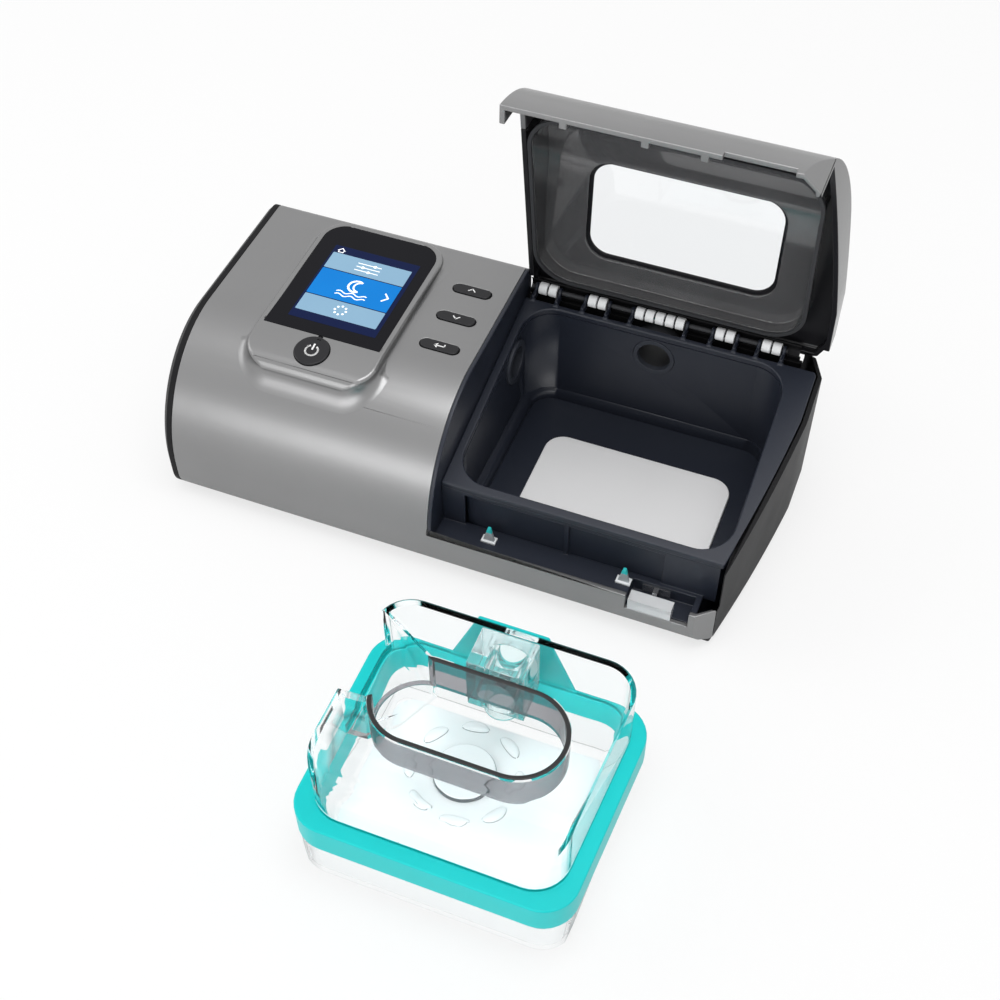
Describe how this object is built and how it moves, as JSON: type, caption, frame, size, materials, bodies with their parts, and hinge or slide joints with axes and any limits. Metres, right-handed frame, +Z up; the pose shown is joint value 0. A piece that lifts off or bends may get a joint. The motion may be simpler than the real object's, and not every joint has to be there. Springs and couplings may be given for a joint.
{
  "type": "cpap machine",
  "caption": "Desktop CPAP machine with colour display, round power button and menu buttons, heated water bay under a hinged window lid, and a clear water tank standing in front",
  "frame": {"origin": "centre of the footprint of the machine, its hose connector and the tank, on the table", "axes": "+X to the right seen from the front, +Y from the tank through the machine to the hose connector, +Z up"},
  "size_m": [0.265, 0.2858, 0.1874],
  "materials": {
    "silver_plastic": "satin metallic silver lacquer on plastic",
    "black_plastic": "fine matt black moulding",
    "navy_plastic": "matt blue-black moulding",
    "smoke_plastic": "glossy dark grey moulding",
    "black_glass": "printed black cover glass",
    "screen": "lit colour display",
    "black_button": "smooth black button with a pale glyph",
    "circuit_board": "green solder mask",
    "white_plastic": "white moulding",
    "grey_plastic": "grey moulding",
    "steel": "drawn steel",
    "motor_steel": "dull plated steel",
    "dark_rubber": "soft dark rubber",
    "teal_rubber": "teal silicone",
    "foam": "open cell grey foam",
    "filter_felt": "white filter felt",
    "heater_metal": "pale anodised plate",
    "heater_film": "amber heater film",
    "clear_plastic": "clear polycarbonate",
    "smoke_clear": "smoked clear plastic"
  },
  "bodies": {
    "machine": {"silver_shell": "silver_plastic", "left_end_cap": "black_plastic", "right_end_cap": "black_plastic", "base_shell": "black_plastic", "rear_panel": "black_plastic", "rubber_feet": "dark_rubber", "base_screws": "steel", "display_pod": "silver_plastic", "display_glass": "black_glass", "lcd_panel": "screen", "display_board": "circuit_board", "button_board": "circuit_board", "main_board": "circuit_board", "dc_jack": "black_plastic", "blower_housing": "white_plastic", "blower_cover": "white_plastic", "shaft_bearings": "steel", "blower_motor": "motor_steel", "blower_mounts": "dark_rubber", "outlet_duct": "dark_rubber", "muffler_foam": "foam", "air_filter": "filter_felt", "card_slot_cover": "dark_rubber", "bay_tub": "navy_plastic", "bay_deck": "navy_plastic", "bay_trough": "navy_plastic", "bay_divider": "navy_plastic", "heater_plate": "heater_metal", "heater_pad": "heater_film", "heater_posts": "dark_rubber", "side_port_seal": "dark_rubber", "hose_connector": "grey_plastic", "hose_seal": "dark_rubber", "lid_catches": "white_plastic", "latch_spring": "steel", "hinge_rod": "steel"},
    "lid": {"lid_shell": "smoke_plastic", "lid_trim": "silver_plastic", "lid_window": "clear_plastic", "lid_liner": "smoke_plastic", "lid_seal": "dark_rubber", "lid_hinge": "white_plastic"},
    "power_button": {"power_button": "black_button"},
    "up_button": {"up_button": "black_button"},
    "down_button": {"down_button": "black_button"},
    "enter_button": {"enter_button": "black_button"},
    "latch_button": {"latch_button": "clear_plastic"},
    "rotor": {"impeller": "grey_plastic", "blower_shaft": "steel"},
    "filter_door": {"filter_cover": "black_plastic"},
    "tank": {"tank_tray": "clear_plastic", "tank_plate": "heater_metal", "tank_band": "teal_rubber"},
    "tank_lid": {"tank_cover": "clear_plastic", "tank_baffle": "smoke_clear", "tank_outlet": "clear_plastic"}
  },
  "joints": [
    {"name": "lid_hinge", "type": "hinge", "parent": "machine", "child": "lid", "pos_m": [0.058, 0.1204, 0.06769], "axis": [1, 0, 0], "range_deg": [-3, 93.4]},
    {"name": "power_button_press", "type": "slide", "parent": "machine", "child": "power_button", "axis": [0, 0.1219, -0.9925], "range_m": [0, 0.0006], "stiffness_N_per_m": 500, "springref_m": -0.0006},
    {"name": "up_button_press", "type": "slide", "parent": "machine", "child": "up_button", "axis": [0, 0, -1], "range_m": [0, 0.001], "stiffness_N_per_m": 300, "springref_m": -0.0006},
    {"name": "down_button_press", "type": "slide", "parent": "machine", "child": "down_button", "axis": [0, 0, -1], "range_m": [0, 0.001], "stiffness_N_per_m": 300, "springref_m": -0.0006},
    {"name": "enter_button_press", "type": "slide", "parent": "machine", "child": "enter_button", "axis": [0, 0, -1], "range_m": [0, 0.001], "stiffness_N_per_m": 300, "springref_m": -0.0006},
    {"name": "latch_button_press", "type": "slide", "parent": "machine", "child": "latch_button", "axis": [0, 1, 0], "range_m": [0, 0.002], "stiffness_N_per_m": 400, "springref_m": -0.0006},
    {"name": "blower_spin", "type": "hinge", "parent": "machine", "child": "rotor", "pos_m": [-0.062, 0.0649, 0.047], "axis": [0, 0, 1], "continuous": true},
    {"name": "filter_door_pull", "type": "slide", "parent": "machine", "child": "filter_door", "axis": [0, 1, 0], "range_m": [0, 0.02]},
    {"name": "tank_lift", "type": "slide", "parent": "machine", "child": "tank", "axis": [0, 0, 1], "range_m": [0, 0.12]},
    {"name": "tank_lid_lift", "type": "slide", "parent": "tank", "child": "tank_lid", "axis": [0, 0, 1], "range_m": [0, 0.06]}
  ]
}
